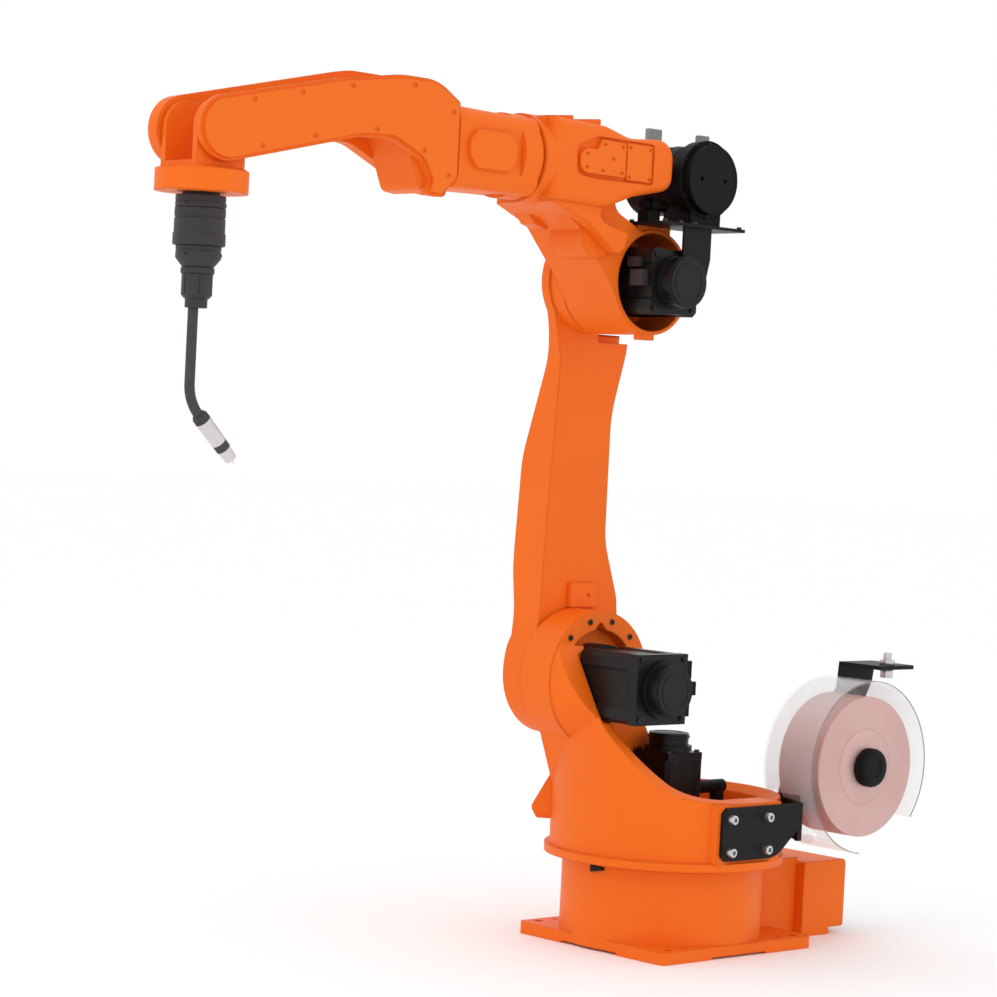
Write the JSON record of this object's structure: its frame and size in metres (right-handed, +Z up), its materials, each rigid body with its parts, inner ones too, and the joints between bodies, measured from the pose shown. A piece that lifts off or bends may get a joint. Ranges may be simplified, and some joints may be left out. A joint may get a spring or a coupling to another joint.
{
  "type": "industrial welding robot arm",
  "caption": "Articulated arc-welding robot arm on a bolted base, with a bent forearm, a wire spool in a clear guard, a wire feeder on the elbow and a swan-neck torch.",
  "frame": {"origin": "where the J1 axis meets the floor, in the plane of the base's foot", "axes": "+X forward along the forearm, +Y to the side with the motors and spool, +Z up"},
  "size_m": [1.752, 0.4989, 1.6038],
  "materials": {
    "orange_paint": "semi-gloss powder coat",
    "cover_paint": "semi-gloss powder coat, a shade lighter",
    "black_motor": "gloss black",
    "black_plate": "satin black powder coat",
    "black_plastic": "matte moulded",
    "grey_plastic": "matte moulded",
    "steel": "turned",
    "zinc": "bright zinc plated",
    "copper_wire": "copper-coated welding wire, layer wound",
    "clear_guard": "clear polycarbonate",
    "white_nozzle": "pale nickel plate",
    "neck_black": "matte insulating sleeve"
  },
  "bodies": {
    "base": {"base_casting": "orange_paint", "base_cable_box": "orange_paint", "connector_plate": "black_plate", "rear_connectors": "black_plastic", "zero_mark": "black_plate"},
    "turret": {"turret_casting": "orange_paint", "j1_motor": "black_motor", "j1_motor_cap": "black_motor", "j1_motor_plug": "black_plastic", "j2_motor": "black_motor", "j2_motor_cap": "black_motor", "j2_motor_plugs": "grey_plastic", "spool_bracket": "black_plate", "bracket_bolts": "zinc", "wire_gland": "black_plastic", "spool_shaft": "black_plastic", "spool_hub_cap": "black_plastic", "spool_guard": "clear_guard"},
    "spool": {"wire_spool": "copper_wire"},
    "lower_arm": {"lower_arm_casting": "orange_paint", "arm_block": "orange_paint"},
    "elbow": {"elbow_casting": "orange_paint", "elbow_hatches": "cover_paint", "j3_motor": "black_motor", "j3_motor_cap": "black_motor", "j3_motor_plugs": "grey_plastic", "feeder_plate": "black_plate", "feeder_upright": "black_plate", "feeder_drum": "black_plastic", "feeder_disc": "black_plastic", "feeder_tabs": "grey_plastic", "feeder_outlet": "black_plastic"},
    "forearm": {"forearm_tube": "orange_paint", "forearm_casting": "orange_paint", "near_cover": "cover_paint", "far_cover": "cover_paint"},
    "wrist": {"wrist_casting": "orange_paint"},
    "torch": {"torch_mount": "steel", "torch_socket": "black_plastic", "torch_body": "black_plastic", "torch_nut": "black_plastic", "torch_tube": "neck_black", "neck_collar": "neck_black", "nozzle_sleeve": "white_nozzle", "nozzle_band": "neck_black", "gas_nozzle": "white_nozzle", "contact_tip": "copper_wire"}
  },
  "joints": [
    {"name": "j1_swivel", "type": "hinge", "parent": "base", "child": "turret", "pos_m": [0, 0, 0.17], "axis": [0, 0, 1], "range_deg": [-170, 170]},
    {"name": "spool_turn", "type": "hinge", "parent": "turret", "child": "spool", "pos_m": [-0.31, 0.188, 0.357], "axis": [0, 1, 0], "continuous": true},
    {"name": "j2_lower_arm", "type": "hinge", "parent": "turret", "child": "lower_arm", "pos_m": [0.147, -0.136, 0.512], "axis": [0, 1, 0], "range_deg": [-60, 90]},
    {"name": "j3_elbow", "type": "hinge", "parent": "lower_arm", "child": "elbow", "pos_m": [0.147, -0.104, 1.277], "axis": [0, -1, 0], "range_deg": [-60, 140]},
    {"name": "j4_forearm_roll", "type": "hinge", "parent": "elbow", "child": "forearm", "pos_m": [0.485, 0, 1.483], "axis": [1, 0, 0], "range_deg": [-180, 180]},
    {"name": "j5_wrist_bend", "type": "hinge", "parent": "forearm", "child": "wrist", "pos_m": [1.193, 0, 1.462], "axis": [0, -1, 0], "range_deg": [-12, 155]},
    {"name": "j6_torch_turn", "type": "hinge", "parent": "wrist", "child": "torch", "pos_m": [1.193, 0, 1.356], "axis": [0, 0, 1], "range_deg": [-360, 360]}
  ]
}
